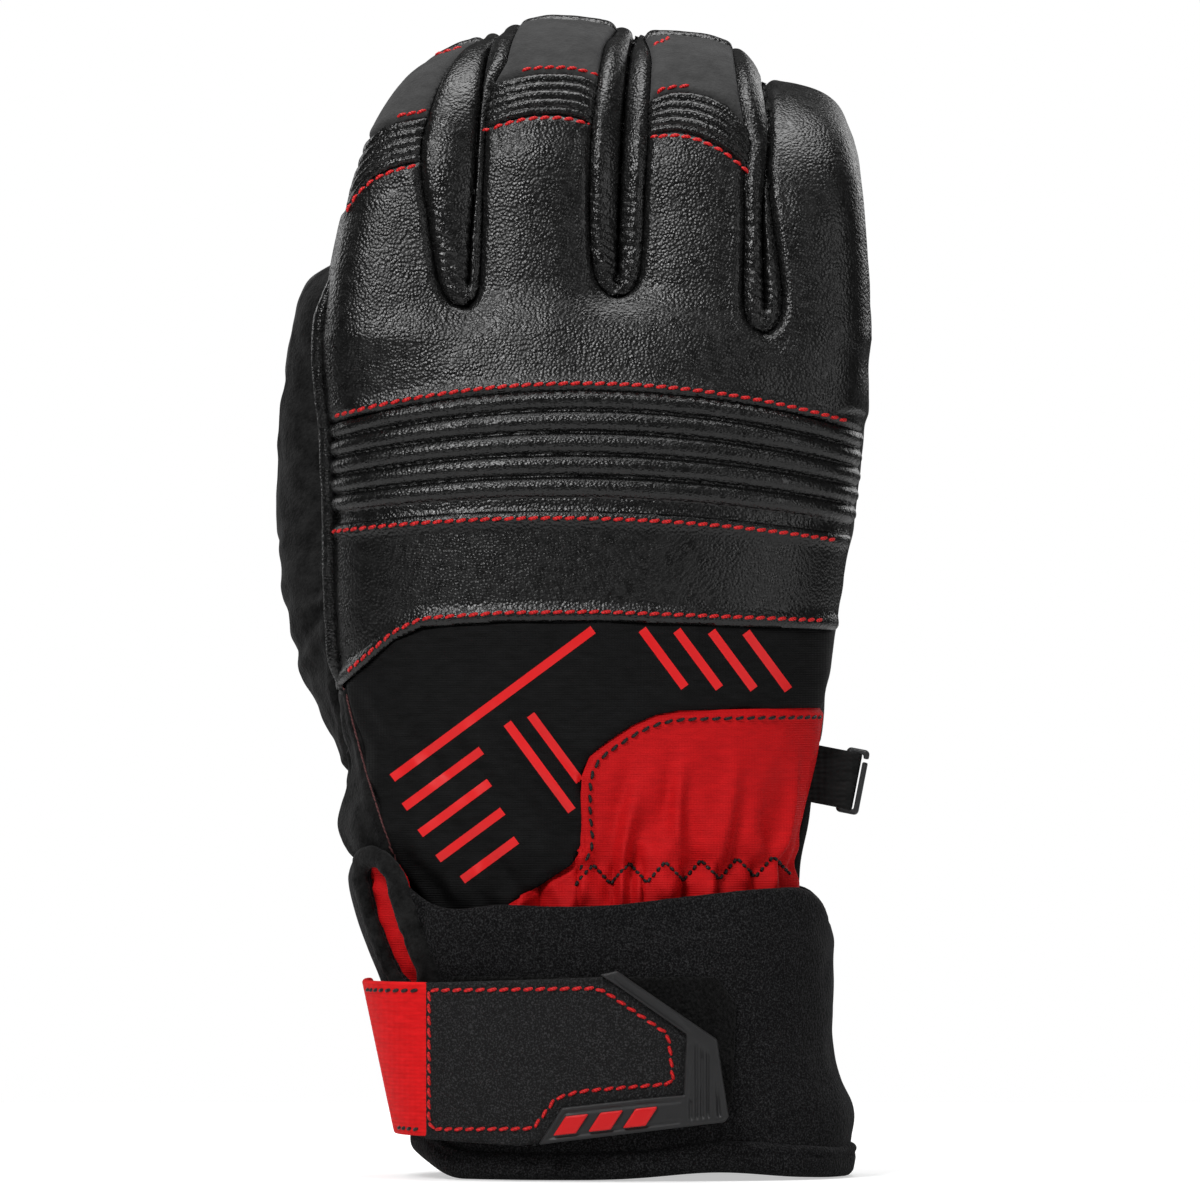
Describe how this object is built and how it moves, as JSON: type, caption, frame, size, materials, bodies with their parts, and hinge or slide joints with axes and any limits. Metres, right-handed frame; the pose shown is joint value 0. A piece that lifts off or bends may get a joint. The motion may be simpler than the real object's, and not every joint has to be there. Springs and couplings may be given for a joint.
{
  "type": "ski glove",
  "caption": "Insulated right-hand ski glove with ribbed leather back, curved fingers, neoprene cuff, wrist strap and link hook, standing on its cuff.",
  "frame": {"origin": "centre of the bounding box's bottom face, in the plane of the cuff's open edge", "axes": "+Z from the cuff towards the fingers, -Y out of the back of the hand, -X towards the thumb side"},
  "size_m": [0.1268, 0.0912, 0.2495],
  "materials": {
    "leather": "pebbled goatskin, semi-gloss",
    "nubuck": "matte nubuck",
    "suede": "napped suede",
    "black_fabric": "fine woven nylon with printed red lines",
    "red_fabric": "fine woven nylon",
    "neoprene": "neoprene with a knit face",
    "red_webbing": "flat webbing",
    "black_webbing": "flat webbing",
    "microfibre": "sueded microfibre",
    "hook_and_loop": "hook and loop pile",
    "badge_rubber": "moulded satin",
    "badge_red": "moulded satin",
    "grey_plastic": "moulded",
    "fleece": "brushed fleece over insulation"
  },
  "bodies": {
    "glove": {"hand_back_leather": "leather", "knuckle_rib_panel": "leather", "lower_back_leather": "leather", "back_fabric_panel": "black_fabric", "wrist_gather_panel": "red_fabric", "wrist_side_panel": "suede", "wrist_underside": "black_fabric", "palm_leather": "nubuck", "palm_patch": "nubuck", "finger_wall_index_middle": "leather", "finger_wall_middle_ring": "leather", "finger_wall_ring_little": "leather", "thumb_base": "suede", "insulated_lining": "fleece", "cuff_sleeve": "neoprene", "cuff_hem": "neoprene", "keyhole_binding": "suede", "keyhole_gusset": "red_fabric", "wrist_elastic": "fleece", "loop_patch": "hook_and_loop", "strap_anchor": "red_webbing", "link_loop": "black_webbing"},
    "index": {"index_ribs": "leather", "index_tip": "nubuck", "index_under": "nubuck", "index_liner": "fleece"},
    "middle": {"middle_ribs": "leather", "middle_tip": "nubuck", "middle_under": "nubuck", "middle_liner": "fleece"},
    "ring": {"ring_ribs": "leather", "ring_tip": "nubuck", "ring_under": "nubuck", "ring_liner": "fleece"},
    "little": {"little_back": "leather", "little_under": "nubuck", "little_liner": "fleece"},
    "thumb": {"thumb_tip_back": "suede", "thumb_tip_pad": "nubuck", "thumb_liner": "fleece"},
    "strap": {"strap_webbing": "red_webbing", "strap_tab": "microfibre", "strap_hook_patch": "hook_and_loop", "strap_badge": "badge_rubber", "badge_bar_1": "badge_red", "badge_bar_2": "badge_red", "badge_bar_3": "badge_red"},
    "hook": {"link_hook": "grey_plastic"}
  },
  "joints": [
    {"name": "index_flex", "type": "hinge", "parent": "glove", "child": "index", "pos_m": [-0.0359, -0.0029, 0.21629], "axis": [-1, 0, 0], "range_deg": [-8, 35], "stiffness_Nm_per_rad": 0.15},
    {"name": "middle_flex", "type": "hinge", "parent": "glove", "child": "middle", "pos_m": [-0.00661, -0.00109, 0.22404], "axis": [-1, 0, 0], "range_deg": [-8, 35], "stiffness_Nm_per_rad": 0.15},
    {"name": "ring_flex", "type": "hinge", "parent": "glove", "child": "ring", "pos_m": [0.0242, -0.00104, 0.22207], "axis": [-1, 0, 0], "range_deg": [-8, 35], "stiffness_Nm_per_rad": 0.15},
    {"name": "little_flex", "type": "hinge", "parent": "glove", "child": "little", "pos_m": [0.0497, -0.00198, 0.20753], "axis": [-1, 0, 0], "range_deg": [-8, 35], "stiffness_Nm_per_rad": 0.15},
    {"name": "thumb_flex", "type": "hinge", "parent": "glove", "child": "thumb", "pos_m": [-0.04893, 0.02903, 0.1495], "axis": [-0.2593, 0.9275, -0.2693], "range_deg": [-10, 20], "stiffness_Nm_per_rad": 0.15},
    {"name": "strap_peel", "type": "hinge", "parent": "glove", "child": "strap", "pos_m": [-0.04815, -0.01583, 0.026], "axis": [0, 0, -1], "range_deg": [0, 150]},
    {"name": "hook_swing", "type": "hinge", "parent": "glove", "child": "hook", "pos_m": [0.05723, -0.00383, 0.08522], "axis": [0.1908, 0, 0.9816], "range_deg": [-45, 45]}
  ]
}
